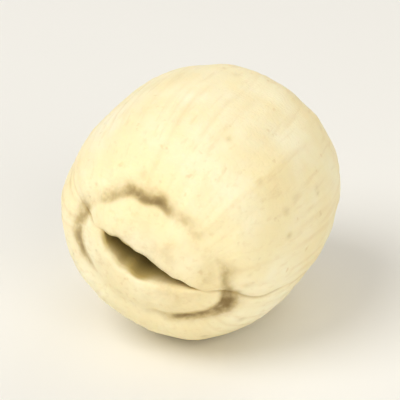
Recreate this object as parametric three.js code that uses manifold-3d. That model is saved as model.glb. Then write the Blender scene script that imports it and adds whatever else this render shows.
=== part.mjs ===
// A dried, peeled and cored lotus seed, lying on its side.
// It is one short barrel of two seed halves grown together. The cleft between the halves is open at the tip,
// where it shows as a lens-shaped slit in a low nipple with a sunken ring round it.
// Millimetres, +Z up. The long axis runs along Y with the tip towards -Y, and the seed rests on a small flat
// spot at z = 0, with the origin under the middle of its box.

import * as THREE from 'three';
import { mergeVertices } from 'three/addons/utils/BufferGeometryUtils.js';
import Module from 'manifold-3d';

// Barrel: two half superellipsoids that meet at the widest section
const LENGTH = 13.4;
const WIDTH = 11.6;               // along the slit
const THICKNESS = 11.0;           // through both halves, across the slit
const WIDEST_FROM_TIP = 7.2;
const TIP_BLUNTNESS = 2.5;        // superellipse exponent: 2 is an ellipse, more is blunter
const BASE_BLUNTNESS = 2.75;

// Cleft between the halves
const SLIT_LENGTH = 4.6;
const SLIT_WIDTH = 1.0;           // at the middle of its length
const SLIT_POINTEDNESS = 0.8;     // 0 is an ellipse, more draws the ends of the slit to points
const SLIT_TAPER = 0.5;           // how much wider the slit is at one end, and narrower at the other
const SLIT_BOW = 0.25;            // how far the middle of the slit is curved to one side
const CLEFT_DEPTH = 8.0;
const CLEFT_ROLL = THREE.MathUtils.degToRad(24);   // lean of the slit, seen from the tip

// Nipple and sunken ring round the slit
const RING_LENGTH = 7.4;
const RING_WIDTH = 5.2;
const RING_DEPTH = 0.32;
const RING_SOFTNESS = 0.17;       // half-width of the groove, as a share of the ring's size
const RING_UNEVENNESS = 0.55;     // how much shallower the ring is on one side
const RING_SHALLOW_SIDE = THREE.MathUtils.degToRad(-100);
const RING_WOBBLE = 0.05;         // how far the ring strays from an ellipse, as a share of its size
const RING_WOBBLE_COUNTS = [3, 5];
const NIPPLE_HEIGHT = 0.1;
const NIPPLE_SPREAD = 0.72;       // share of the ring's size that the nipple fills
const NIPPLE_FLATNESS = 4;        // 2 is a round top, more is a flatter one
const LIP_DROP = 0.25;            // rounding of the slit's edge
const LIP_SOFTNESS = 0.25;        // how far out the rounding reaches, as a share of the slit's size
const LIP_LOWEST = 0.85;          // share of the slit's size where it would be deepest, inside the edge

// Low relief of the barrel
const SUTURE_DEPTH = 0.12;        // grooves where the halves meet, running on from the slit's ends
const SUTURE_HALF_WIDTH = 0.35;
const SUTURE_REACH = 8.5;         // distance from the tip at which they have faded out
const FLUTE_HEIGHT = 0.03;        // fine lengthwise ribs
const FLUTE_COUNTS = [13, 19];
const LOBE_HEIGHT = 0.06;         // broad flats left by drying
const LOBE_COUNTS = [3, 4];
const BASE_SLIT_DEPTH = 0.25;     // short pinched mark at the base
const BASE_SLIT_LENGTH = 1.6;
const BASE_SLIT_WIDTH = 0.44;
const BASE_DIMPLE_DEPTH = 0.16;   // shallow dimple round the mark
const BASE_DIMPLE_RADIUS = 1.3;

// Flat spot that the seed rests on
const REST_DEPTH = 0.22;
const REST_BLOCK = 20;

// Facets
const SEGMENTS = 64;
const CLEFT_ROWS = 9;
const FACE_ROWS = 18;
const SHOULDER_ROWS = 8;
const BASE_ROWS = 18;
const FACE_CROWDING = 1.2;        // rows crowd together at the slit's edge
const BASE_CROWDING = 1.4;        // and at the mark at the base
const SHOULDER = 0.8;             // share of the full radius where the tip's face turns into the side

const HALF_WIDTH = WIDTH / 2;
const HALF_THICKNESS = THICKNESS / 2;
const BASE_FROM_WIDEST = LENGTH - WIDEST_FROM_TIP;

// A smooth hump of height 1 at zero that dies away past one half-width.
const hump = (distance, halfWidth) => Math.exp(-((distance / halfWidth) ** 2));

// Signed power, which keeps the sign of its base.
const signedPower = (base, power) => Math.sign(base) * Math.abs(base) ** power;

// Distance of a point from the axis, as a share of the widest section's radius in that direction.
const radialShare = (x, z) => Math.hypot(x / HALF_WIDTH, z / HALF_THICKNESS);

// Height along the axis of the plain barrel, measured from its widest section: negative towards the tip.
function barrelHeight(share, towardsBase) {
  const bluntness = towardsBase ? BASE_BLUNTNESS : TIP_BLUNTNESS;
  const reach = towardsBase ? BASE_FROM_WIDEST : -WIDEST_FROM_TIP;
  return reach * Math.max(0, 1 - share ** bluntness) ** (1 / bluntness);
}

// Outward normal of the plain barrel: the gradient of its superellipsoid equation.
function barrelNormal({ x, y, z }) {
  const towardsBase = y > 0;
  const bluntness = towardsBase ? BASE_BLUNTNESS : TIP_BLUNTNESS;
  const reach = towardsBase ? BASE_FROM_WIDEST : WIDEST_FROM_TIP;
  const radial = radialShare(x, z) ** (bluntness - 2);
  const normal = new THREE.Vector3(
    radial * x / HALF_WIDTH ** 2,
    signedPower(y / reach, bluntness - 1) / reach,
    radial * z / HALF_THICKNESS ** 2,
  );
  return normal.normalize();
}

// Middle line of the bowed slit: an arch of the share of the way out to the slit's ends.
const slitMiddle = (share) => -SLIT_BOW * Math.max(0, 1 - share ** 2);

// Width of the tapering slit's lens, before its ends are drawn to points.
const slitWidth = (share) => SLIT_WIDTH * (1 - SLIT_TAPER * THREE.MathUtils.clamp(share, -1, 1));

// Distance of a point from the axis as a share of the slit's lens, which is 1 along the slit's edge.
function slitShare(x, z) {
  const along = 2 * x / SLIT_LENGTH;
  const across = 2 * (z - slitMiddle(along)) / slitWidth(along);
  return Math.hypot(along, Math.abs(across) ** (1 / (1 + SLIT_POINTEDNESS)));
}

// Distance of a point from the axis as a share of the sunken ring's size, which is 1 along the groove.
function ringShare(x, z) {
  const turn = Math.atan2(z, x);
  const wobble = RING_WOBBLE_COUNTS.reduce((sum, count) => sum + Math.cos(count * turn + count), 0);
  return Math.hypot(2 * x / RING_LENGTH, 2 * z / RING_WIDTH) * (1 + RING_WOBBLE * wobble / 2);
}

// Relief of the tip: the nipple stands up inside the sunken ring, and the slit's edge is rounded off.
function tipRelief({ x, z }) {
  const ring = ringShare(x, z);
  const evenness = 1 - RING_UNEVENNESS * Math.cos((Math.atan2(z, x) - RING_SHALLOW_SIDE) / 2) ** 2;
  const groove = RING_DEPTH * evenness * hump(ring - 1, RING_SOFTNESS);
  const nipple = NIPPLE_HEIGHT * Math.exp(-((ring / NIPPLE_SPREAD) ** NIPPLE_FLATNESS));
  return nipple - groove - LIP_DROP * hump(slitShare(x, z) - LIP_LOWEST, LIP_SOFTNESS);
}

// Relief of the side: the two suture grooves, fine ribs and broad dried flats, all fading at both ends.
function sideRelief({ x, y, z }) {
  const turn = Math.atan2(z, x);
  const sideShare = radialShare(x, z) ** 2;
  const fromTip = y + WIDEST_FROM_TIP;
  const outsideRing = THREE.MathUtils.smoothstep(Math.abs(x), SLIT_LENGTH / 2, RING_LENGTH / 2);
  const fade = 1 - THREE.MathUtils.smoothstep(fromTip, 0, SUTURE_REACH);
  const suture = SUTURE_DEPTH * fade * outsideRing * hump(z, SUTURE_HALF_WIDTH);
  const ribs = FLUTE_COUNTS.reduce((sum, count) => sum + Math.sin(count * turn + count), 0);
  const flats = LOBE_COUNTS.reduce((sum, count) => sum + Math.cos(count * turn + count), 0);
  return sideShare * (FLUTE_HEIGHT * ribs / 2 + LOBE_HEIGHT * flats) - suture;
}

// Relief of the base: one short pinched mark in line with the slit, in a shallow dimple.
function baseRelief({ x, z }) {
  const mark = BASE_SLIT_DEPTH * hump(x, BASE_SLIT_LENGTH / 2) * hump(z, BASE_SLIT_WIDTH / 2);
  return -mark - BASE_DIMPLE_DEPTH * hump(Math.hypot(x, z), BASE_DIMPLE_RADIUS);
}

// A point of the plain barrel moved along its normal by the relief.
function finishedPoint(plain) {
  const endRelief = plain.y < 0 ? tipRelief(plain) : baseRelief(plain);
  return plain.clone().addScaledVector(barrelNormal(plain), endRelief + sideRelief(plain));
}

// Edge of the slit at one turn about the axis, as x along the slit and z across it.
function slitEdge(turn) {
  const share = Math.cos(turn);
  const across = slitWidth(share) / 2 * signedPower(Math.sin(turn), 1 + SLIT_POINTEDNESS);
  return { x: SLIT_LENGTH / 2 * share, z: slitMiddle(share) + across };
}

// Tip's face: rings that start as the slit's lens and open out to the barrel's round shoulder.
function facePoint(turn, openness) {
  const edge = slitEdge(turn);
  const x = THREE.MathUtils.lerp(edge.x, SHOULDER * HALF_WIDTH * Math.cos(turn), openness);
  const z = THREE.MathUtils.lerp(edge.z, SHOULDER * HALF_THICKNESS * Math.sin(turn), openness);
  return finishedPoint(new THREE.Vector3(x, barrelHeight(radialShare(x, z), false), z));
}

// Side and base: rings of the barrel's own round section.
function sidePoint(turn, share, towardsBase) {
  const x = share * HALF_WIDTH * Math.cos(turn);
  const z = share * HALF_THICKNESS * Math.sin(turn);
  return finishedPoint(new THREE.Vector3(x, barrelHeight(share, towardsBase), z));
}

// Cleft: the slit's edge carried inwards, drawn in to one line and then to one point at the bottom.
function cleftPoint(turn, depthShare) {
  const mouth = facePoint(turn, 0);
  const bottom = CLEFT_DEPTH - WIDEST_FROM_TIP;
  const x = mouth.x * Math.sqrt(1 - depthShare ** 2);
  const z = mouth.z * (1 - depthShare);
  return new THREE.Vector3(x, THREE.MathUtils.lerp(mouth.y, bottom, depthShare), z);
}

// Rows of the seed's surface from the bottom of the cleft, out over the tip and along the side to the base.
// Each row gives the point at a turn about the axis.
function surfaceRows() {
  const rows = [];
  for (let row = 0; row < CLEFT_ROWS; row += 1) {
    rows.push((turn) => cleftPoint(turn, 1 - row / CLEFT_ROWS));
  }
  for (let row = 0; row < FACE_ROWS; row += 1) {
    rows.push((turn) => facePoint(turn, (row / FACE_ROWS) ** FACE_CROWDING));
  }
  const shoulderAngle = Math.asin(SHOULDER ** (TIP_BLUNTNESS / 2));
  for (let row = 0; row < SHOULDER_ROWS; row += 1) {
    const angle = THREE.MathUtils.lerp(shoulderAngle, Math.PI / 2, row / SHOULDER_ROWS);
    rows.push((turn) => sidePoint(turn, Math.sin(angle) ** (2 / TIP_BLUNTNESS), false));
  }
  for (let row = 0; row <= BASE_ROWS; row += 1) {
    const angle = Math.PI / 2 * (1 - row / BASE_ROWS) ** BASE_CROWDING;
    rows.push((turn) => sidePoint(turn, Math.sin(angle), true));
  }
  return rows;
}

// The seed's closed surface: a lathe whose rows are then set to their true sections.
function seedSurface() {
  const rows = surfaceRows();
  const profile = rows.map((place) => {
    const point = place(0);
    return new THREE.Vector2(point.x, point.y);
  });
  profile[0].x = 0;
  profile[profile.length - 1].x = 0;
  const geometry = new THREE.LatheGeometry(profile, SEGMENTS);
  const position = geometry.attributes.position;
  for (let index = 0; index < position.count; index += 1) {
    const column = Math.floor(index / rows.length) % SEGMENTS;
    const point = rows[index % rows.length](-2 * Math.PI * column / SEGMENTS);
    position.setXYZ(index, point.x, point.y, point.z);
  }
  return geometry;
}

// A closed geometry as a solid: shared corners merged, and the collapsed triangles at the poles dropped.
function toSolid(wasm, geometry) {
  const bare = geometry.clone();
  bare.deleteAttribute('normal');
  bare.deleteAttribute('uv');
  const merged = mergeVertices(bare);
  const corners = merged.index.array;
  const triangles = [];
  for (let start = 0; start < corners.length; start += 3) {
    const [a, b, c] = corners.slice(start, start + 3);
    if (a !== b && b !== c && c !== a) {
      triangles.push(a, b, c);
    }
  }
  return new wasm.Manifold(new wasm.Mesh({
    numProp: 3,
    vertProperties: merged.attributes.position.array,
    triVerts: new Uint32Array(triangles),
  }));
}

// A solid back as a geometry.
function toGeometry(solid) {
  const mesh = solid.getMesh();
  const geometry = new THREE.BufferGeometry();
  geometry.setAttribute('position', new THREE.BufferAttribute(mesh.vertProperties, 3));
  geometry.setIndex(new THREE.BufferAttribute(mesh.triVerts, 1));
  geometry.computeVertexNormals();
  return geometry;
}

// The seed rolled to its lean, let down onto z = 0 and trimmed there to its flat spot.
function restingSeed(wasm) {
  const surface = seedSurface();
  surface.rotateY(CLEFT_ROLL);
  surface.computeBoundingBox();
  const { min, max } = surface.boundingBox;
  surface.translate(-(min.x + max.x) / 2, -(min.y + max.y) / 2, -min.z - REST_DEPTH);
  const below = new THREE.BoxGeometry(REST_BLOCK, REST_BLOCK, REST_BLOCK);
  below.translate(0, 0, -REST_BLOCK / 2);
  return toGeometry(toSolid(wasm, surface).subtract(toSolid(wasm, below)));
}

const wasm = await Module();
wasm.setup();

const seedFlesh = new THREE.MeshStandardMaterial({ color: 0xf3e5bb, roughness: 0.6, metalness: 0 });

const lotusSeed = new THREE.Mesh(restingSeed(wasm), seedFlesh);
lotusSeed.name = 'lotus_seed';

const seed = new THREE.Group();
seed.add(lotusSeed);

export default seed;
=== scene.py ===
"""Looks of one dried, peeled and cored lotus seed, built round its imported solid.

The seed is one closed surface. Its rows start at the bottom of the cleft, come out over the slit's lips,
the nipple and the sunken ring, and run along the barrel to the pinched mark at the base. Sizes in the
classes are millimetres and angles are radians. Meshes are metres in the frame's own axes.
"""

import logging
import math
from dataclasses import dataclass
from enum import Enum, IntEnum

import bpy
import numpy as np
from mathutils import Color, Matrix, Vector
from numpy.typing import NDArray


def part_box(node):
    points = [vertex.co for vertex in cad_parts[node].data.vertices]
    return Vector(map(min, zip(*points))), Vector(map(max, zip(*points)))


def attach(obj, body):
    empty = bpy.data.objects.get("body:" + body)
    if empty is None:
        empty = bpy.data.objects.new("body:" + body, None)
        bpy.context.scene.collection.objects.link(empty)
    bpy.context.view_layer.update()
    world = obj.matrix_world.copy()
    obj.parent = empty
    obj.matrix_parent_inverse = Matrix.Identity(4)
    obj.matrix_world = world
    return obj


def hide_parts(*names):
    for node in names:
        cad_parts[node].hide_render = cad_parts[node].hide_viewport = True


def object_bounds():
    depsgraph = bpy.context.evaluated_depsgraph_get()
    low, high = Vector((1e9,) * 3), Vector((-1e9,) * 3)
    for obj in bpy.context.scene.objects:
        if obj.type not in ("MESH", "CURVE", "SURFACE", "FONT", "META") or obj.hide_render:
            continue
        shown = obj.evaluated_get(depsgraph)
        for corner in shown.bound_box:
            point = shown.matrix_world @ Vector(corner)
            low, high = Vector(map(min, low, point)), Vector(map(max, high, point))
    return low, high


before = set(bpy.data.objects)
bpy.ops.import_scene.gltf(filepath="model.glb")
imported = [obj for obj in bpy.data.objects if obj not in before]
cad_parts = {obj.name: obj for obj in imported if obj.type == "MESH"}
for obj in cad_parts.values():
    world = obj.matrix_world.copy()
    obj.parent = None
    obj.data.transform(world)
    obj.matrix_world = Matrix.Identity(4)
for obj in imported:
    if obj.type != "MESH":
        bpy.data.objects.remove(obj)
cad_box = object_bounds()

Field = NDArray[np.float64]
Span = tuple[float, float]
Counts = tuple[int, ...]
Colour = tuple[int, int, int]
Triple = tuple[float, float, float]
Socket = bpy.types.NodeSocket
Value = Socket | float | tuple[float, ...]

log = logging.getLogger("lotus_seed")

MM = 0.001
FULL_CHANNEL = 255.0
SEED_NODE = "lotus_seed"
SEED_PIECE = "lotus_seed_skin"
FLOOR_PIECE = "pale_floor"
ROOT_BODY = "root"


class End(Enum):
    """The two ends of the barrel, each as the sign of the axis towards it."""

    TIP = -1.0
    BASE = 1.0


class Mark(Enum):
    """Marks that the surface carries for its finish, each a number from 0 to 1 at every point."""

    # The lips' brown stain, and painted shade that darkens the cleft with depth.
    CLEFT = "cleft"
    STAIN = "stain"
    STREAK = "streak"
    HOLLOW = "hollow"


class Draw(IntEnum):
    """Numbers that fix the random draws, one for each thing that is left to chance."""

    LINES = 8
    LINE_PATCHES = 9
    VEINS = 10
    VEIN_PATCHES = 11
    PITS = 12
    LIPS = 13
    CRACK_PATCHES = 14
    PUCKERS = 15
    LUMPS = 18
    DENTS = 19
    GRAIN = 20
    STAIN_WANDER = 31
    STAIN_FADING = 32
    FILM_EDGE = 33
    LIP_FADING = 34


def split(points: Field) -> tuple[Field, Field, Field]:
    """The x, y and z of points."""
    return points[..., 0], points[..., 1], points[..., 2]


def at_tip(points: Field) -> NDArray[np.bool_]:
    """Whether points lie on the tip's half of the barrel."""
    return points[..., 1] < 0.0


def axis_distance(points: Field) -> Field:
    """Distance of points from the seed's axis."""
    return np.hypot(points[..., 0], points[..., 2])


def polar_turn(points: Field) -> Field:
    """Angle of points about the seed's axis, from x towards z."""
    return np.arctan2(points[..., 2], points[..., 0])


def turned_apart(turn: Field, middle: float) -> Field:
    """Angle between two turns about the axis, the short way round, from 0 to half a turn."""
    return np.abs((turn - middle + math.pi) % math.tau - math.pi)


def signed_power(base: Field, power: Field | float) -> Field:
    """A power of the size of the base, with the base's sign kept."""
    return np.sign(base) * np.abs(base) ** power


def hump(distance: Field, half_width: Field | float, order: float = 2.0) -> Field:
    """A bump of height 1: e to minus a power of distance over half-width, flatter at higher orders."""
    return np.exp(-((distance / half_width) ** order))


def smooth_rise(value: Field, low: float, high: float) -> Field:
    """A rise from 0 at low to 1 at high by the cubic 3 t^2 - 2 t^3."""
    t = np.clip((value - low) / (high - low), 0.0, 1.0)
    return t * t * (3.0 - 2.0 * t)


def waves_round(turn: Field, counts: Counts, wave: np.ufunc = np.cos) -> Field:
    """Sum of waves of whole numbers of turns about the axis, each set off by its own number."""
    return sum(wave(count * turn + count) for count in counts)


def summed_cosines(angles: Field) -> Field:
    """Sum of cosines along the last axis, brought to unit spread by the root of 2 over their number."""
    return np.cos(angles).sum(axis=-1) * math.sqrt(2.0 / angles.shape[-1])


@dataclass(frozen=True)
class Cloud:
    """A smooth random field in space with zero mean: its spread, its typical wavelength and its draw.

    The waves' pitches lie between two shares of the typical one.
    """

    spread: float
    wavelength: float
    draw: Draw
    waves: int = 40
    pitch_shares: Span = (0.7, 1.4)

    def at(self, points: Field) -> Field:
        """The field: a sum of plane cosine waves of about one wavelength, in random directions and phases.

        Args:
            points: Places to sample.

        Returns:
            The field at each place.
        """
        rng = np.random.default_rng(self.draw)
        directions = rng.normal(size=(self.waves, 3))
        directions /= np.linalg.norm(directions, axis=1, keepdims=True)
        pitches = math.tau / self.wavelength * rng.uniform(*self.pitch_shares, (self.waves, 1))
        phases = rng.uniform(0.0, math.tau, self.waves)
        return self.spread * summed_cosines(points @ (directions * pitches).T + phases)


@dataclass(frozen=True)
class Ripple:
    """A random wave round the axis with zero mean: its spread, its crests in a full turn and its draw."""

    spread: float
    fewest: int
    most: int
    waves: int
    draw: Draw

    def at(self, turn: Field) -> Field:
        """The wave: a sum of cosines of whole numbers of turns, so that it closes on itself.

        Args:
            turn: Angle about the axis.

        Returns:
            The wave at each angle.
        """
        rng = np.random.default_rng(self.draw)
        counts = rng.integers(self.fewest, self.most + 1, self.waves)
        phases = rng.uniform(0.0, math.tau, self.waves)
        return self.spread * summed_cosines(turn[..., None] * counts + phases)


@dataclass(frozen=True)
class Patches:
    """Where a mark shows more and where less: a random field, spread from 0 at low to 1 at high."""

    wavelength: float
    low: float
    high: float
    draw: Draw

    def at(self, points: Field) -> Field:
        """Strength of the mark at each place, from 0 to 1."""
        return smooth_rise(Cloud(1.0, self.wavelength, self.draw).at(points), self.low, self.high)


@dataclass(frozen=True)
class Sway:
    """How far a lengthwise line swings to either side: a long sine and a shorter one along the axis.

    Pitches are radians per millimetre, and the shorter sine has a share of the long one's size.
    """

    size: float
    long_pitch: float = 0.55
    long_phase: float = 1.3
    short_pitch: float = 1.25
    short_phase: float = 0.4
    short_share: float = 0.5

    def at(self, y: Field) -> Field:
        """The swing at places along the axis."""
        short = self.short_share * np.sin(self.short_pitch * y + self.short_phase)
        return self.size * (np.sin(self.long_pitch * y + self.long_phase) + short)


@dataclass(frozen=True)
class Barrel:
    """The plain barrel: halves of two superellipsoids, joined at the widest section.

    x runs along the slit, y along the axis from the widest section with the tip at negative y, and z across
    the slit. A radial share is a distance from the axis over the widest section's radius that way.
    """

    length: float = 13.4
    width: float = 11.6
    thickness: float = 11.0
    widest_from_tip: float = 7.2
    tip_bluntness: float = 2.5
    base_bluntness: float = 2.75

    def reach(self, end: End) -> float:
        """Distance from the widest section to one end."""
        return self.widest_from_tip if end is End.TIP else self.length - self.widest_from_tip

    def bluntness(self, end: End) -> float:
        """Superellipse exponent of one end: 2 is an ellipse, more is blunter."""
        return self.tip_bluntness if end is End.TIP else self.base_bluntness

    def radial_share(self, x: Field, z: Field) -> Field:
        """Radial share of places across the axis."""
        return np.hypot(2.0 * x / self.width, 2.0 * z / self.thickness)

    def section(self, share: Field | float, turn: Field) -> tuple[Field, Field]:
        """The x and z of the ellipse at a radial share: a cosine and a sine of the turn."""
        return share * self.width / 2.0 * np.cos(turn), share * self.thickness / 2.0 * np.sin(turn)

    def height(self, share: Field, end: End) -> Field:
        """The y towards one end: its reach times the n-th root of 1 minus a radial share's n-th power."""
        power = self.bluntness(end)
        return end.value * self.reach(end) * np.clip(1.0 - share**power, 0.0, None) ** (1.0 / power)

    def rows(self, turn: Field, share: Field, end: End) -> Field:
        """Points of the barrel on the side of one end: one ellipse for each radial share.

        Args:
            turn: Angles of the columns.
            share: Radial shares of the rows.
            end: The end whose half of the barrel is meant.

        Returns:
            Points by row and column.
        """
        x, z = self.section(share[:, None], turn)
        y = np.broadcast_to(self.height(share, end)[:, None], x.shape)
        return np.stack((x, y, z), axis=-1)

    def normal(self, points: Field) -> Field:
        """Outward normals: the gradient of the superellipsoid's equation.

        Args:
            points: Places on the barrel.

        Returns:
            Unit vectors.
        """
        x, y, z = split(points)
        power = np.where(at_tip(points), self.tip_bluntness, self.base_bluntness)
        reach = np.where(at_tip(points), self.reach(End.TIP), self.reach(End.BASE))
        radial = self.radial_share(x, z) ** (power - 2.0)
        along = radial * x / (self.width / 2.0) ** 2
        axial = signed_power(y / reach, power - 1.0) / reach
        across = radial * z / (self.thickness / 2.0) ** 2
        normal = np.stack((along, axial, across), axis=-1)
        return normal / np.linalg.norm(normal, axis=-1, keepdims=True)


@dataclass(frozen=True)
class Slit:
    """The slit at the tip, a bowed lens that is wider at one end, and the cleft that it leads into."""

    length: float = 4.6
    width: float = 1.0
    pointedness: float = 0.8
    taper: float = 0.5
    bow: float = 0.25
    cleft_depth: float = 8.0
    lip_drop: float = 0.25
    lip_softness: float = 0.25
    lip_lowest: float = 0.85

    def middle(self, along: Field) -> Field:
        """The z of the bowed middle line: an arch of the share of the way out to the slit's ends."""
        return -self.bow * np.clip(1.0 - along**2, 0.0, None)

    def span(self, along: Field) -> Field:
        """Width of the tapering lens at a share of the way out, before its ends are drawn to points."""
        return self.width * (1.0 - self.taper * np.clip(along, -1.0, 1.0))

    def share(self, points: Field) -> Field:
        """Distance from the slit's middle as a share of its lens, which is 1 along the slit's edge.

        It is the hypotenuse of the share of the way along and of a root of the share of the way across.

        Args:
            points: Places on the tip's face.

        Returns:
            The share at each place.
        """
        x, _, z = split(points)
        along = 2.0 * x / self.length
        across = np.abs(2.0 * (z - self.middle(along)) / self.span(along))
        return np.hypot(along, across ** (1.0 / (1.0 + self.pointedness)))

    def edge(self, turn: Field) -> tuple[Field, Field]:
        """Edge of the slit: a cosine of the turn along it, and a power of the sine across its middle line.

        Args:
            turn: Angle about the axis.

        Returns:
            The edge's x and z.
        """
        along = np.cos(turn)
        across = self.span(along) / 2.0 * signed_power(np.sin(turn), 1.0 + self.pointedness)
        return self.length / 2.0 * along, self.middle(along) + across

    def lip_fall(self, points: Field) -> Field:
        """Depth of the rounding of the slit's edge: a bump of the share, deepest just inside the edge."""
        return self.lip_drop * hump(self.share(points) - self.lip_lowest, self.lip_softness)


@dataclass(frozen=True)
class TipRing:
    """The sunken, uneven ring round the slit, and the low nipple inside it."""

    length: float = 7.4
    width: float = 5.2
    depth: float = 0.32
    softness: float = 0.17
    unevenness: float = 0.55
    shallow_side: float = math.radians(-100.0)
    wobble: float = 0.05
    wobble_counts: Counts = (3, 5)
    nipple_height: float = 0.1
    nipple_spread: float = 0.72
    nipple_flatness: float = 4.0

    def share(self, points: Field) -> Field:
        """Distance from the axis as a share of the ring's size, which is 1 along the groove.

        It is an ellipse's share, times 1 plus a wobble by the mean of cosines of whole numbers of turns.

        Args:
            points: Places on the tip's face.

        Returns:
            The share at each place.
        """
        x, _, z = split(points)
        waves = waves_round(polar_turn(points), self.wobble_counts) / len(self.wobble_counts)
        return np.hypot(2.0 * x / self.length, 2.0 * z / self.width) * (1.0 + self.wobble * waves)

    def relief(self, points: Field) -> Field:
        """Height of the nipple, a flat-topped bump, less the groove, a bump about the share 1.

        Args:
            points: Places on the tip's face.

        Returns:
            The height at each place. The groove is shallower on one side, by a squared cosine of the turn.
        """
        share = self.share(points)
        shallow = np.cos((polar_turn(points) - self.shallow_side) / 2.0) ** 2
        groove = self.depth * (1.0 - self.unevenness * shallow) * hump(share - 1.0, self.softness)
        return self.nipple_height * hump(share, self.nipple_spread, self.nipple_flatness) - groove


@dataclass(frozen=True)
class Flanks:
    """Broad relief of the sides: the sutures' grooves, and ribs and flats from drying."""

    suture_depth: float = 0.12
    suture_half_width: float = 0.35
    suture_reach: float = 8.5
    rib_height: float = 0.03
    rib_counts: Counts = (13, 19)
    flat_height: float = 0.06
    flat_counts: Counts = (3, 4)

    def raised(self, turn: Field) -> Field:
        """Height of the ribs, a mean of sines of the turn, and of the flats, a sum of its cosines."""
        ribs = waves_round(turn, self.rib_counts, np.sin) / len(self.rib_counts)
        return self.rib_height * ribs + self.flat_height * waves_round(turn, self.flat_counts)


@dataclass(frozen=True)
class BaseMark:
    """The pinched mark at the base, in a shallow round dimple."""

    depth: float = 0.25
    length: float = 1.6
    width: float = 0.44
    dimple_depth: float = 0.16
    dimple_radius: float = 1.3

    def strength(self, points: Field) -> Field:
        """Strength of the pinch, 1 at its middle: a bump along it times a bump across it."""
        x, _, z = split(points)
        return hump(x, self.length / 2.0) * hump(z, self.width / 2.0)

    def relief(self, points: Field) -> Field:
        """Height of the base's relief, which is below the barrel all over."""
        dimple = self.dimple_depth * hump(axis_distance(points), self.dimple_radius)
        return -self.depth * self.strength(points) - dimple


@dataclass(frozen=True)
class SeedForm:
    """The seed's main form, the same as its solid's, and the roll that it lies at."""

    barrel: Barrel = Barrel()
    slit: Slit = Slit()
    ring: TipRing = TipRing()
    flanks: Flanks = Flanks()
    base: BaseMark = BaseMark()
    roll: float = math.radians(24.0)

    def suture_share(self, points: Field) -> Field:
        """Strength of the sutures: it rises from the slit's ends to the ring, and fades along the sides.

        Args:
            points: Places on the plain barrel.

        Returns:
            The strength at each place, from 0 to 1.
        """
        x, y, _ = split(points)
        outside = smooth_rise(np.abs(x), self.slit.length / 2.0, self.ring.length / 2.0)
        from_tip = y + self.barrel.widest_from_tip
        return outside * (1.0 - smooth_rise(from_tip, 0.0, self.flanks.suture_reach))

    def side_relief(self, points: Field) -> Field:
        """Height of the sides' relief: ribs and flats by the square of the radial share, less the sutures.

        Args:
            points: Places on the plain barrel.

        Returns:
            The height at each place.
        """
        x, _, z = split(points)
        flanks = self.flanks
        groove = flanks.suture_depth * self.suture_share(points) * hump(z, flanks.suture_half_width)
        return self.barrel.radial_share(x, z) ** 2 * flanks.raised(polar_turn(points)) - groove

    def relief(self, points: Field) -> Field:
        """Height of the whole relief over the plain barrel."""
        tip = self.ring.relief(points) - self.slit.lip_fall(points)
        return np.where(at_tip(points), tip, self.base.relief(points)) + self.side_relief(points)


@dataclass(frozen=True)
class SeedGrid:
    """How finely the surface is divided, in rows along the seed and columns round it.

    The tip's face ends at the shoulder's radial share. Crowding draws columns to the ends of the slit, and
    rows to its edge and to the base.
    """

    columns: int = 324
    cleft_rows: int = 44
    face_rows: int = 112
    shoulder_rows: int = 56
    base_rows: int = 84
    shoulder: float = 0.8
    column_crowding: float = 0.4
    face_crowding: float = 1.2
    base_crowding: float = 1.4

    def turns(self) -> Field:
        """Angles of the columns about the axis: even steps less a sine of twice the angle."""
        even = math.tau * np.arange(self.columns) / self.columns
        return even - self.column_crowding / 2.0 * np.sin(2.0 * even)

    def depths(self) -> Field:
        """Rows down the cleft, as a share of its depth, from its bottom up to just below its mouth."""
        return 1.0 - np.arange(self.cleft_rows) / self.cleft_rows

    def openings(self) -> Field:
        """Rows of the tip's face, as a share of the way from the slit's edge out to the shoulder."""
        return (np.arange(self.face_rows) / self.face_rows) ** self.face_crowding

    def shoulder_shares(self, bluntness: float) -> Field:
        """Rows from the shoulder to the widest section, as radial shares: a power of a sine of even angles.

        Args:
            bluntness: Superellipse exponent of the tip.

        Returns:
            The radial share of each row.
        """
        start = math.asin(self.shoulder ** (bluntness / 2.0))
        angles = np.linspace(start, math.pi / 2.0, self.shoulder_rows, endpoint=False)
        return np.sin(angles) ** (2.0 / bluntness)

    def base_shares(self) -> Field:
        """Rows from the widest section to the base, as radial shares: the sine of a shrinking angle."""
        left = 1.0 - np.arange(self.base_rows + 1) / self.base_rows
        return np.sin(math.pi / 2.0 * left**self.base_crowding)


@dataclass(frozen=True)
class Lines:
    """Fine lengthwise lines in the skin."""

    height: float = 0.007
    wave: Ripple = Ripple(1.0, fewest=34, most=100, waves=26, draw=Draw.LINES)
    sway: Sway = Sway(0.02)
    patches: Patches = Patches(5.0, -1.2, 1.4, Draw.LINE_PATCHES)

    def strength(self, turn: Field, points: Field) -> Field:
        """A random wave round the axis that sways along it, stronger in some patches than in others."""
        return self.wave.at(turn + self.sway.at(points[..., 1])) * self.patches.at(points)


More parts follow.
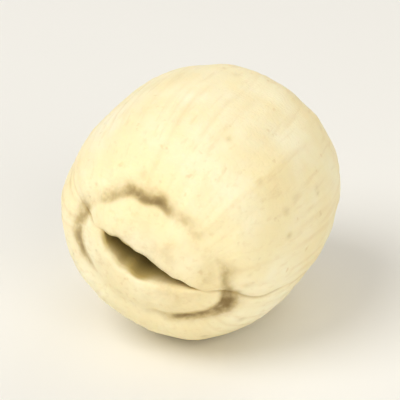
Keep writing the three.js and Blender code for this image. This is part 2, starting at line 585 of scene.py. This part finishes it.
@dataclass(frozen=True)
class Veins:
    """Broader lengthwise vein marks, spaced unevenly round the barrel."""

    number: int = 13
    height: float = 0.016
    half_width: float = 0.13
    unevenness: float = 0.35
    strengths: Span = (0.25, 1.0)
    sway: Sway = Sway(0.028)
    patches: Patches = Patches(4.0, -1.6, 0.8, Draw.VEIN_PATCHES)

    def strength(self, turn: Field, points: Field) -> Field:
        """Soft ridges: at each place the highest of bumps of the distance from the swaying middle lines.

        Args:
            turn: Angle of each column about the axis.
            points: Places on the plain barrel.

        Returns:
            Strength of the veins, 1 on a strong one.
        """
        rng = np.random.default_rng(Draw.VEINS)
        shifts = rng.uniform(-self.unevenness, self.unevenness, self.number)
        middles = math.tau / self.number * (np.arange(self.number) + shifts)
        strengths = rng.uniform(*self.strengths, self.number)
        swayed = turn + self.sway.at(points[..., 1])
        total = np.zeros_like(turn)
        for middle, strength in zip(middles, strengths):
            ridge = hump(axis_distance(points) * turned_apart(swayed, middle), self.half_width)
            total = np.maximum(total, strength * ridge)
        return total * self.patches.at(points)


@dataclass(frozen=True)
class Pits:
    """Small dents, longer along the seed. The higher the rarity, the fewer of them are large."""

    number: int = 56
    depth: float = 0.032
    radii: Span = (0.05, 0.19)
    rarity: float = 2.0
    depth_shares: Span = (0.3, 1.0)
    slimness: float = 0.6

    def strength(self, points: Field, chance: Field) -> Field:
        """Dents at places drawn by chance: a sum of bumps of the distance, squeezed along the axis.

        Args:
            points: Places on the plain barrel.
            chance: How likely a dent is at each place, from 0 up.

        Returns:
            Strength of the dents, 1 at the bottom of a full one.
        """
        rng = np.random.default_rng(Draw.PITS)
        places = points.reshape(-1, 3) * (1.0, self.slimness, 1.0)
        odds = chance.reshape(-1) / chance.sum()
        chosen = rng.choice(len(places), self.number, replace=False, p=odds)
        smallest, largest = self.radii
        radii = smallest + (largest - smallest) * rng.uniform(0.0, 1.0, self.number) ** self.rarity
        depths = rng.uniform(*self.depth_shares, self.number)
        total = np.zeros(len(places))
        for middle, radius, depth in zip(places[chosen], radii, depths):
            total += depth * hump(np.linalg.norm(places - middle, axis=1), radius)
        return total.reshape(points.shape[:-1])


@dataclass(frozen=True)
class Puckers:
    """Creases that run out from the ring. Their middle and reach are shares of the ring's size."""

    wave: Ripple = Ripple(0.012, fewest=9, most=30, waves=14, draw=Draw.PUCKERS)
    middle: float = 1.3
    reach: float = 0.32

    def relief(self, ring_share: Field, points: Field) -> Field:
        """Height of the creases: a random wave round the axis, strongest just outside the ring."""
        return self.wave.at(polar_turn(points)) * hump(ring_share - self.middle, self.reach)


@dataclass(frozen=True)
class RaggedLips:
    """Unevenness of the slit's lips. Its reach is a share of the slit's size."""

    stray: Cloud = Cloud(0.026, 0.8, Draw.LIPS)
    reach: float = 0.3

    def shift(self, beyond_slit: Field, points: Field) -> Field:
        """How far the lips stray across the slit: a random field that dies away from the slit's edge."""
        return self.stray.at(points) * hump(beyond_slit, self.reach)


@dataclass(frozen=True)
class Crack:
    """Hairline crack along the suture, broken here and there."""

    depth: float = 0.06
    half_width: float = 0.075
    sway: Sway = Sway(
        0.11, long_pitch=1.1, long_phase=0.5, short_pitch=2.7, short_phase=1.9, short_share=0.6
    )
    patches: Patches = Patches(2.4, -1.4, 0.4, Draw.CRACK_PATCHES)

    def strength(self, points: Field) -> Field:
        """Strength of the crack: a narrow bump about a swaying line, where its patches leave it whole."""
        _, y, z = split(points)
        return hump(z + self.sway.at(y), self.half_width) * self.patches.at(points)


@dataclass(frozen=True)
class SkinRelief:
    """Fine relief of the dried skin. Lines, veins and pits come in between two radial shares."""

    lumps: tuple[Cloud, ...] = (
        Cloud(0.024, 4.6, Draw.LUMPS),
        Cloud(0.008, 1.4, Draw.DENTS),
        Cloud(0.0028, 0.42, Draw.GRAIN),
    )
    lines: Lines = Lines()
    veins: Veins = Veins()
    pits: Pits = Pits()
    puckers: Puckers = Puckers()
    lips: RaggedLips = RaggedLips()
    crack: Crack = Crack()
    side_from: float = 0.2
    side_full: float = 0.75


@dataclass(frozen=True)
class StainArc:
    """One stretch of the ring where brown skin is left: its middle, half-length and strength."""

    middle: float
    half_length: float
    strength: float

    def at(self, turn: Field) -> Field:
        """Strength of the stretch: a bump of the angle from its middle."""
        return self.strength * hump(turned_apart(turn, self.middle), self.half_length)


@dataclass(frozen=True)
class RingStain:
    """Brown skin left in the ring, in a few stretches, and a tint of it on the nipple.

    Widths, offset and reach are shares of the ring's size.
    """

    arcs: tuple[StainArc, ...] = (
        StainArc(math.radians(108.0), math.radians(50.0), 0.95),
        StainArc(math.radians(-18.0), math.radians(42.0), 1.0),
        StainArc(math.radians(198.0), math.radians(30.0), 0.75),
    )
    inner_half_width: float = 0.08
    outer_half_width: float = 0.15
    offset: float = -0.03
    wander: Ripple = Ripple(0.02, fewest=4, most=15, waves=10, draw=Draw.STAIN_WANDER)
    fading: Cloud = Cloud(0.22, 1.6, Draw.STAIN_FADING)
    nipple_tint: float = 0.24
    nipple_reach: float = 0.95
    nipple_flatness: float = 6.0

    def strength(self, ring_share: Field, points: Field) -> Field:
        """Stain in the ring: the strongest arc times a bump across the groove, or the nipple's tint.

        Args:
            ring_share: Distance from the axis as a share of the ring's size.
            points: Places on the plain barrel.

        Returns:
            Strength of the stain, from 0 to 1.
        """
        turn = polar_turn(points)
        off_middle = ring_share - 1.0 - (self.offset + self.wander.at(turn))
        half_width = np.where(off_middle < 0.0, self.inner_half_width, self.outer_half_width)
        thinned = 1.0 + self.fading.at(points)
        along = np.max([arc.at(turn) for arc in self.arcs], axis=0)
        groove = along * hump(off_middle, half_width) * thinned
        nipple = self.nipple_tint * hump(ring_share, self.nipple_reach, self.nipple_flatness) * thinned
        return np.clip(np.maximum(groove, nipple), 0.0, 1.0)


@dataclass(frozen=True)
class LipStain:
    """Darkening of the slit's lips. Its half-width is a share of the slit's size."""

    mean: float = 0.3
    fading: Cloud = Cloud(0.14, 1.1, Draw.LIP_FADING)
    half_width: float = 0.12

    def strength(self, beyond_slit: Field, points: Field) -> Field:
        """Strength of the stain: a bump of the distance from the slit's edge, stronger in some places."""
        return np.clip(self.mean + self.fading.at(points), 0.0, 1.0) * hump(beyond_slit, self.half_width)


@dataclass(frozen=True)
class BaseStain:
    """Stain of the pinched mark at the base, in a faint round halo."""

    pinch_strength: float = 0.75
    halo_strength: float = 0.2
    halo_radius: float = 0.95

    def strength(self, pinch: Field, points: Field) -> Field:
        """Strength of the stain: the pinch or the halo's bump, whichever is stronger."""
        halo = self.halo_strength * hump(axis_distance(points), self.halo_radius)
        return np.maximum(self.pinch_strength * pinch, halo)


@dataclass(frozen=True)
class CoatFilm:
    """Thin brown skin that still stands proud where the stain is strong, with ragged edges."""

    thickness: float = 0.03
    edge: Span = (0.34, 0.5)
    raggedness: Cloud = Cloud(0.1, 0.3, Draw.FILM_EDGE)

    def relief(self, stain: Field, points: Field) -> Field:
        """Height of the film: a rise over the edge's range of the stain, made uneven by a random field."""
        return self.thickness * smooth_rise(stain * (1.0 + self.raggedness.at(points)), *self.edge)


@dataclass(frozen=True)
class CoatRemainsAndCleftShade:
    """What is left of the peeled coat, in the ring, on the lips and at the base; and painted shade that
    darkens the cleft's walls with depth.
    """

    ring: RingStain = RingStain()
    lips: LipStain = LipStain()
    base: BaseStain = BaseStain()
    film: CoatFilm = CoatFilm()
    # Depth over which the painted shade in the cleft sets in.
    painted_shade_fading: float = 2.0

    def cleft_painted_shade(self, depth: Field) -> Field:
        """Painted shade of the cleft's walls, darker with depth: 1 minus e to the minus depth over the
        fading depth.
        """
        return 1.0 - np.exp(-depth / self.painted_shade_fading)


def linear_colour(colour: Colour) -> tuple[float, ...]:
    """A screen colour of 0 to 255 as the linear colour, with its alpha, that shaders take."""
    screen = Color([channel / FULL_CHANNEL for channel in colour])
    return *screen.from_srgb_to_scene_linear(), 1.0


@dataclass(frozen=True)
class Ramp:
    """A smooth rise for a shader: values from low to high are taken to floor up to peak."""

    low: float
    high: float
    floor: float = 0.0
    peak: float = 1.0

    def ranges(self) -> dict[str, float]:
        """The ramp as the inputs of a range node."""
        return {"From Min": self.low, "From Max": self.high, "To Min": self.floor, "To Max": self.peak}


@dataclass(frozen=True)
class Mottle:
    """One layer of random shade: patches of a size, longer along the seed by the stretch, and a ramp."""

    size: float
    ramp: Ramp = Ramp(0.0, 1.0)
    detail: float = 2.0
    stretch: float = 1.0
    shift: float = 0.0


class NodeBench:
    """Lays shader nodes into one new material and links them."""

    def __init__(self, name: str) -> None:
        """Starts a material with one plain shader.

        Args:
            name: The material's name.
        """
        self.material = bpy.data.materials.new(name)
        self.material.use_nodes = True
        self.tree = self.material.node_tree
        self.shader = next(node for node in self.tree.nodes if node.type == "BSDF_PRINCIPLED")
        self.place = self.add("ShaderNodeTexCoord", {}).outputs["Object"]

    def fill(self, node: bpy.types.Node, values: dict[str | int, Value]) -> None:
        """Links outputs into a node's inputs, and sets plain numbers and colours on them.

        Args:
            node: The node.
            values: An output, a number or a linear colour for each input.
        """
        for name, value in values.items():
            if isinstance(value, Socket):
                self.tree.links.new(value, node.inputs[name])
            else:
                node.inputs[name].default_value = value

    def add(self, kind: str, values: dict[str | int, Value], **settings: str) -> bpy.types.Node:
        """Adds one node.

        Args:
            kind: The node's type.
            values: An output, a number or a linear colour for each input.
            settings: The node's own settings.

        Returns:
            The node.
        """
        node = self.tree.nodes.new(kind)
        for name, setting in settings.items():
            setattr(node, name, setting)
        self.fill(node, values)
        return node

    def mark(self, mark: Mark) -> Socket:
        """The surface's own mark of one kind."""
        return self.add("ShaderNodeAttribute", {}, attribute_name=mark.value).outputs["Fac"]

    def noise(self, layer: Mottle) -> Socket:
        """Plain random shade of a layer, before its ramp.

        Args:
            layer: The layer, whose size is turned into a pitch along each axis.

        Returns:
            The shade's output, from 0 to 1.
        """
        pitch = 1.0 / (layer.size * MM)
        scale = (pitch, pitch / layer.stretch, pitch)
        shift = (layer.shift, layer.shift, layer.shift)
        mapping = self.add("ShaderNodeMapping", {"Vector": self.place, "Scale": scale, "Location": shift})
        place = mapping.outputs["Vector"]
        node = self.add("ShaderNodeTexNoise", {"Vector": place, "Scale": 1.0, "Detail": layer.detail})
        return node.outputs["Fac"]

    def spread(self, value: Socket, ramp: Ramp) -> Socket:
        """A value taken smoothly up a ramp."""
        values = {"Value": value, **ramp.ranges()}
        return self.add("ShaderNodeMapRange", values, interpolation_type="SMOOTHSTEP").outputs["Result"]

    def mottle(self, layer: Mottle) -> Socket:
        """Random shade of a layer, taken up its ramp."""
        return self.spread(self.noise(layer), layer.ramp)

    def product(self, first: Socket, second: Socket | float) -> Socket:
        """One value times another, or times a number."""
        return self.add("ShaderNodeMath", {0: first, 1: second}, operation="MULTIPLY").outputs[0]

    def tint(self, share: Socket, below: Value, above: Value) -> Socket:
        """A colour laid over another.

        Args:
            share: How much of the upper colour shows.
            below: The lower colour, as an output or a linear colour.
            above: The upper colour, likewise.

        Returns:
            The mixed colour's output.
        """
        node = self.add("ShaderNodeMix", {"Factor": share}, data_type="RGBA")
        lower, upper = (at for at, socket in enumerate(node.inputs) if socket.type == "RGBA")
        self.fill(node, {lower: below, upper: above})
        return next(socket for socket in node.outputs if socket.type == "RGBA")

    def bump(self, height: Socket, distance: float, below: Socket | None = None) -> Socket:
        """Shading normals of a fine relief.

        Args:
            height: The relief's output, from 0 to 1.
            distance: Its full height.
            below: Normals of a relief that this one lies on.

        Returns:
            The normal's output.
        """
        node = self.add("ShaderNodeBump", {"Height": height, "Distance": distance * MM})
        if below is not None:
            self.fill(node, {"Normal": below})
        return node.outputs["Normal"]


@dataclass(frozen=True)
class SeedFlesh:
    """Finish of dried seed flesh: cloudy cream, faint tan lines, brown stains, and painted shade that
    darkens the cleft.
    """

    cream: Colour = (250, 236, 191)
    pale: Colour = (254, 245, 211)
    warm: Colour = (248, 228, 172)
    tan: Colour = (222, 193, 136)
    smudge: Colour = (182, 155, 92)
    coat_brown: Colour = (122, 97, 48)
    # Colours of the cleft mark: the lips' brown stain, then painted shade that darkens the cleft's walls
    # with depth.
    lip_stain_and_wall_shade: Colour = (186, 164, 100)
    cleft_shade_colour: Colour = (120, 105, 54)
    clouds: Mottle = Mottle(3.4, Ramp(0.36, 0.66), detail=3.0)
    warmth: Mottle = Mottle(4.2, Ramp(0.34, 0.8, peak=0.6), detail=4.0, shift=3.1)
    fibres: Mottle = Mottle(0.26, Ramp(0.52, 0.74, peak=0.22), detail=3.0, stretch=14.0, shift=5.3)
    flecks: Mottle = Mottle(0.5, Ramp(0.66, 0.78, peak=0.4), shift=7.7)
    tears: Mottle = Mottle(0.5, Ramp(0.3, 0.66, floor=0.72, peak=1.1), detail=3.0, shift=9.2)
    sheen: Mottle = Mottle(0.8, Ramp(0.3, 0.7, floor=0.52, peak=0.70), detail=4.0, shift=1.9)
    grain: Mottle = Mottle(0.15, detail=4.0, shift=2.4)
    fibre_relief: Mottle = Mottle(0.2, stretch=12.0, shift=6.6)
    grain_height: float = 0.03
    fibre_height: float = 0.009
    streak_strength: float = 0.34
    hollow_strength: float = 0.7
    smudge_ramp: Ramp = Ramp(0.04, 0.7, peak=0.7)
    coat_ramp: Ramp = Ramp(0.4, 1.15, peak=0.9)
    lip_stain_and_wall_shade_ramp: Ramp = Ramp(0.0, 0.45)
    cleft_shade_ramp: Ramp = Ramp(0.3, 0.95)
    specular: float = 0.34
    glow: float = 0.2
    glow_radius: Triple = (1.0, 0.62, 0.26)
    glow_depth: float = 0.7

    def colour(self, bench: NodeBench) -> Socket:
        """Lays the colours over each other, from the flesh up to the stains and the cleft.

        Args:
            bench: The bench of the material.

        Returns:
            The finished colour's output.
        """
        stain = bench.product(bench.mark(Mark.STAIN), bench.mottle(self.tears))
        cleft = bench.mark(Mark.CLEFT)
        layers = (
            (bench.mottle(self.clouds), self.pale),
            (bench.mottle(self.warmth), self.warm),
            (bench.mottle(self.fibres), self.tan),
            (bench.mottle(self.flecks), self.tan),
            (bench.product(bench.mark(Mark.STREAK), self.streak_strength), self.tan),
            # Pits and the crack are tinted darker, towards the smudge colour.
            (bench.product(bench.mark(Mark.HOLLOW), self.hollow_strength), self.smudge),
            (bench.spread(stain, self.smudge_ramp), self.smudge),
            (bench.spread(stain, self.coat_ramp), self.coat_brown),
            # The cleft mark: the lips' stain, and painted shade down the cleft.
            (bench.spread(cleft, self.lip_stain_and_wall_shade_ramp), self.lip_stain_and_wall_shade),
            (bench.spread(cleft, self.cleft_shade_ramp), self.cleft_shade_colour),
        )
        colour: Value = linear_colour(self.cream)
        for share, above in layers:
            colour = bench.tint(share, colour, linear_colour(above))
        return colour

    def make(self) -> bpy.types.Material:
        """Builds the material from noise in space and the surface's own marks.

        Returns:
            The finished material.
        """
        bench = NodeBench("dried_seed_flesh")
        grain = bench.bump(bench.noise(self.grain), self.grain_height)
        values = {
            "Base Color": self.colour(bench),
            "Roughness": bench.mottle(self.sheen),
            "Normal": bench.bump(bench.noise(self.fibre_relief), self.fibre_height, grain),
            "Specular IOR Level": self.specular,
            "Subsurface Weight": self.glow,
            "Subsurface Radius": self.glow_radius,
            "Subsurface Scale": self.glow_depth * MM,
        }
        bench.fill(bench.shader, values)
        return bench.material


@dataclass(frozen=True)
class FloorPaint:
    """Finish of the floor: plain pale matte paint."""

    colour: Colour = (240, 239, 235)
    roughness: float = 0.7

    def make(self) -> bpy.types.Material:
        """Builds the plain material.

        Returns:
            The finished material.
        """
        bench = NodeBench("pale_floor")
        bench.fill(bench.shader, {"Base Color": linear_colour(self.colour), "Roughness": self.roughness})
        return bench.material


def poled(rows: Field) -> Field:
    """Rows as one list, where the first and the last row, the poles, give one point each."""
    return np.concatenate((rows[0, :1], *rows[1:-1], rows[-1, :1]))


def link(name: str, data: bpy.types.ID) -> bpy.types.Object:
    """Makes an object and links it into the scene.

    Args:
        name: The object's name.
        data: Its mesh, lamp or camera.

    Returns:
        The object, at the origin.
    """
    made = bpy.data.objects.new(name, data)
    bpy.context.scene.collection.objects.link(made)
    return made


def aim(thing: bpy.types.Object, target: Vector, away: Vector) -> None:
    """Puts a lamp or a camera at an offset from a point, and turns it to face the point."""
    thing.location = target + away
    thing.rotation_euler = (-away).to_track_quat("-Z", "Y").to_euler()


@dataclass(frozen=True)
class LotusSeed:
    """The seed as one piece: its form, its fine skin, what is left of its brown coat with the painted shade
    in its cleft, and its finish.
    """

    form: SeedForm = SeedForm()
    grid: SeedGrid = SeedGrid()
    skin: SkinRelief = SkinRelief()
    coat: CoatRemainsAndCleftShade = CoatRemainsAndCleftShade()
    finish: SeedFlesh = SeedFlesh()
    vein_tint: float = 0.55
    line_tint: float = 0.32
    pit_tint: float = 0.55

    def plain_rows(self, turn: Field) -> Field:
        """Plain points of the outside: rings that pass from the slit's lens to the shoulder, then ellipses.

        Args:
            turn: Angles of the columns.

        Returns:
            Points by row and column, from the slit's edge to the base.
        """
        barrel, grid = self.form.barrel, self.grid
        opening = grid.openings()[:, None]
        edge_x, edge_z = self.form.slit.edge(turn)
        shoulder_x, shoulder_z = barrel.section(grid.shoulder, turn)
        x = edge_x + opening * (shoulder_x - edge_x)
        z = edge_z + opening * (shoulder_z - edge_z)
        face = np.stack((x, barrel.height(barrel.radial_share(x, z), End.TIP), z), axis=-1)
        shoulder = barrel.rows(turn, grid.shoulder_shares(barrel.tip_bluntness), End.TIP)
        base = barrel.rows(turn, grid.base_shares(), End.BASE)
        return np.concatenate((face, shoulder, base))

    def fine_relief(self, turn: Field, plain: Field) -> tuple[Field, dict[Mark, Field]]:
        """Height of the fine skin over the main form, with the marks that go with it.

        Args:
            turn: Angle of each column about the axis, for every point.
            plain: Points of the plain barrel, by row and column.

        Returns:
            The height, and each mark's strength.
        """
        form, skin, coat = self.form, self.skin, self.coat
        x, _, z = split(plain)
        tip = at_tip(plain)
        on_side = smooth_rise(form.barrel.radial_share(x, z), skin.side_from, skin.side_full)
        lines = skin.lines.strength(turn, plain) * on_side
        veins = skin.veins.strength(turn, plain) * on_side
        pits = skin.pits.strength(plain, on_side * axis_distance(plain))
        crack = skin.crack.strength(plain) * form.suture_share(plain)
        ring = form.ring.share(plain)
        base_stain = coat.base.strength(form.base.strength(plain), plain)
        stain = np.where(tip, coat.ring.strength(ring, plain), base_stain)
        tip_only = coat.film.relief(stain, plain) + skin.puckers.relief(ring, plain)
        height = (
            sum(layer.at(plain) for layer in skin.lumps)
            + skin.lines.height * lines
            + skin.veins.height * veins
            + np.where(tip, tip_only, 0.0)
            - skin.pits.depth * pits
            - skin.crack.depth * crack
        )
        streak = self.vein_tint * veins - self.line_tint * np.minimum(lines, 0.0)
        marks = {
            Mark.CLEFT: np.where(tip, coat.lips.strength(form.slit.share(plain) - 1.0, plain), 0.0),
            Mark.STAIN: stain,
            Mark.STREAK: np.clip(streak, 0.0, 1.0),
            Mark.HOLLOW: np.clip(self.pit_tint * pits + crack, 0.0, 1.0),
        }
        return height, marks

    def cleft_rows(self, mouth: Field) -> tuple[Field, Field]:
        """Points down the cleft: its mouth carried inwards, drawn in to a line and then to one point.

        With the share of the depth, the section shrinks along the slit as the root of 1 minus the share
        squared, and evenly across it.

        Args:
            mouth: Finished points of the slit's edge.

        Returns:
            Points by row and column from the bottom up, and their depth below the mouth.
        """
        share = self.grid.depths()[:, None]
        x, y, z = split(mouth)
        bottom = self.form.slit.cleft_depth - self.form.barrel.widest_from_tip
        depth = share * (bottom - y)
        return np.stack((x * np.sqrt(1.0 - share**2), y + depth, z * (1.0 - share)), axis=-1), depth

    def surface(self) -> tuple[Field, Field, dict[Mark, Field]]:
        """The finished surface in the seed's own axes.

        Returns:
            Points by row and column, the outside's points without the fine skin, and each mark's strength.
        """
        turn = self.grid.turns()
        plain = self.plain_rows(turn)
        normal = self.form.barrel.normal(plain)
        coarse = plain + normal * self.form.relief(plain)[..., None]
        height, marks = self.fine_relief(np.broadcast_to(turn, plain.shape[:-1]), plain)
        outside = coarse + normal * height[..., None]
        lips = self.skin.lips.shift(self.form.slit.share(plain) - 1.0, plain)
        outside[..., 2] += np.where(at_tip(plain), lips, 0.0)
        inside, depth = self.cleft_rows(outside[0])
        below = {mark: np.broadcast_to(strength[:1], depth.shape) for mark, strength in marks.items()}
        # Painted shade: the cleft's walls grow darker with depth below the mouth.
        below[Mark.CLEFT] = below[Mark.CLEFT] + (1.0 - below[Mark.CLEFT]) * self.coat.cleft_painted_shade(depth)
        whole = {mark: np.concatenate((below[mark], marks[mark])) for mark in Mark}
        return np.concatenate((inside, outside)), coarse, whole

    def seat(self, points: Field, coarse: Field) -> Field:
        """Rolls the seed to its lean and sets it in its solid's box, flat where it meets the floor.

        Args:
            points: Points in the seed's own axes.
            coarse: Points of the main form, whose box is matched to the solid's.

        Returns:
            Points in the frame, in metres.
        """
        sine, cosine = math.sin(self.form.roll), math.cos(self.form.roll)
        rolled = np.array(((cosine, 0.0, sine), (0.0, 1.0, 0.0), (-sine, 0.0, cosine)))
        lowest, highest = (np.array(corner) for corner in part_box(SEED_NODE))
        main_form = coarse.reshape(-1, 3) @ rolled.T * MM
        shift = (lowest + highest) / 2.0 - (main_form.min(axis=0) + main_form.max(axis=0)) / 2.0
        shift[2] = highest[2] - main_form[:, 2].max()
        placed = points @ rolled.T * MM + shift
        placed[..., 2] = np.maximum(placed[..., 2], lowest[2])
        return placed

    def mesh(self, points: Field, marks: dict[Mark, Field]) -> bpy.types.Mesh:
        """Joins the grid's points into one closed mesh, with a fan of triangles at each pole.

        Args:
            points: Points by row and column, whose first and last rows are the poles.
            marks: Strength of each mark, by row and column.

        Returns:
            The mesh, smooth shaded, with the marks as point attributes.
        """
        rings, columns = points.shape[0] - 2, points.shape[1]
        corners = poled(points)
        here = 1 + np.arange(rings * columns).reshape(rings, columns)
        beside = np.roll(here, -1, axis=1)
        quads = np.stack((here[:-1], here[1:], beside[1:], beside[:-1]), axis=-1).reshape(-1, 4)
        first = np.stack((np.zeros(columns, int), here[0], beside[0]), axis=-1)
        last = np.stack((np.full(columns, len(corners) - 1), beside[-1], here[-1]), axis=-1)
        mesh = bpy.data.meshes.new(SEED_PIECE)
        mesh.from_pydata(corners.tolist(), [], quads.tolist() + first.tolist() + last.tolist())
        for mark, strength in marks.items():
            mesh.attributes.new(mark.value, "FLOAT", "POINT").data.foreach_set("value", poled(strength))
        mesh.polygons.foreach_set("use_smooth", np.ones(len(mesh.polygons), dtype=bool))
        mesh.update()
        return mesh

    def build(self) -> bpy.types.Object:
        """Makes the seed, dresses it and sets it in place of its solid.

        Returns:
            The finished piece.
        """
        points, coarse, marks = self.surface()
        piece = link(SEED_PIECE, self.mesh(self.seat(points, coarse), marks))
        piece.data.materials.append(self.finish.make())
        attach(piece, ROOT_BODY)
        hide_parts(SEED_NODE)
        return piece


@dataclass(frozen=True)
class PaleFloor:
    """The plain floor that the seed lies on."""

    side: float = 1600.0
    paint: FloorPaint = FloorPaint()

    def build(self) -> bpy.types.Object:
        """Makes one flat square at the height of the seed's flat spot.

        Returns:
            The floor.
        """
        half = self.side * MM / 2.0
        corners = [(-half, -half, 0.0), (half, -half, 0.0), (half, half, 0.0), (-half, half, 0.0)]
        mesh = bpy.data.meshes.new(FLOOR_PIECE)
        mesh.from_pydata(corners, [], [(0, 1, 2, 3)])
        mesh.materials.append(self.paint.make())
        floor = link(FLOOR_PIECE, mesh)
        return floor


@dataclass(frozen=True)
class Softbox:
    """One round soft lamp: its offset from the seed, its diameter, its power in watts and its colour."""

    name: str
    offset: Triple
    diameter: float
    power: float
    colour: Triple

    def hang(self, target: Vector) -> None:
        """Makes the lamp, turned towards a point.

        Args:
            target: The point, in metres, that the lamp's offset is measured from.
        """
        data = bpy.data.lights.new(self.name, "AREA")
        data.shape = "DISK"
        data.size = self.diameter * MM
        data.energy = self.power
        data.color = self.colour
        aim(link(self.name, data), target, Vector(self.offset) * MM)


@dataclass(frozen=True)
class Studio:
    """Plain soft light from a few large lamps and a pale sky."""

    lamps: tuple[Softbox, ...] = (
        Softbox("key_lamp", (-140.0, -160.0, 260.0), 240.0, power=0.66, colour=(1.0, 0.99, 0.965)),
        Softbox("fill_lamp", (260.0, -220.0, 180.0), 280.0, power=0.42, colour=(1.0, 0.97, 0.91)),
        Softbox("back_lamp", (60.0, 300.0, 240.0), 260.0, power=0.20, colour=(1.0, 0.97, 0.91)),
    )
    sky_colour: tuple[float, float, float, float] = (1.0, 0.97, 0.92, 1.0)
    sky_strength: float = 0.48

    def light(self, target: Vector) -> None:
        """Hangs the lamps round a point and sets the sky.

        Args:
            target: The point, in metres, that the lamps are turned to.
        """
        for lamp in self.lamps:
            lamp.hang(target)
        world = bpy.data.worlds.new("pale_sky")
        world.use_nodes = True
        sky = next(node for node in world.node_tree.nodes if node.type == "BACKGROUND")
        sky.inputs["Color"].default_value = self.sky_colour
        sky.inputs["Strength"].default_value = self.sky_strength
        bpy.context.scene.world = world
        bpy.context.scene.view_settings.view_transform = "Standard"


@dataclass(frozen=True)
class PhotoCamera:
    """The camera at the photograph's viewing angle, with a long lens and the seed large in the frame."""

    name: str = "photo_camera"
    azimuth: float = math.radians(21.0)
    elevation: float = math.radians(25.0)
    lens: float = 180.0
    sensor: float = 36.0
    frame_width: float = 18.0
    clip_factor: float = 100.0

    def set_up(self, target: Vector) -> None:
        """Makes the camera, aimed at a point from the distance that gives the frame's width there.

        Azimuth 0 looks along +Y, a larger one from further towards +X, and elevation looks down.

        Args:
            target: The point, in metres, at the middle of the frame.
        """
        distance = self.frame_width * MM * self.lens / self.sensor
        level = math.cos(self.elevation)
        across, behind = math.sin(self.azimuth) * level, -math.cos(self.azimuth) * level
        data = bpy.data.cameras.new(self.name)
        data.lens = self.lens
        data.sensor_width = self.sensor
        data.clip_start = distance / self.clip_factor
        data.clip_end = distance * self.clip_factor
        camera = link(self.name, data)
        aim(camera, target, Vector((across, behind, math.sin(self.elevation))) * distance)
        bpy.context.scene.camera = camera


def main() -> None:
    """Builds the camera, the seed, the floor and the light, and reports each piece."""
    logging.basicConfig(level=logging.INFO, format="%(name)s: %(message)s")
    lowest, highest = cad_box
    middle = (lowest + highest) / 2.0
    PhotoCamera().set_up(middle)
    seed = LotusSeed().build()
    log.info("%s: %d points, %d faces", seed.name, len(seed.data.vertices), len(seed.data.polygons))
    floor = PaleFloor().build()
    log.info("%s: stage", floor.name)
    Studio().light(middle)


if __name__ == "__main__":
    main()
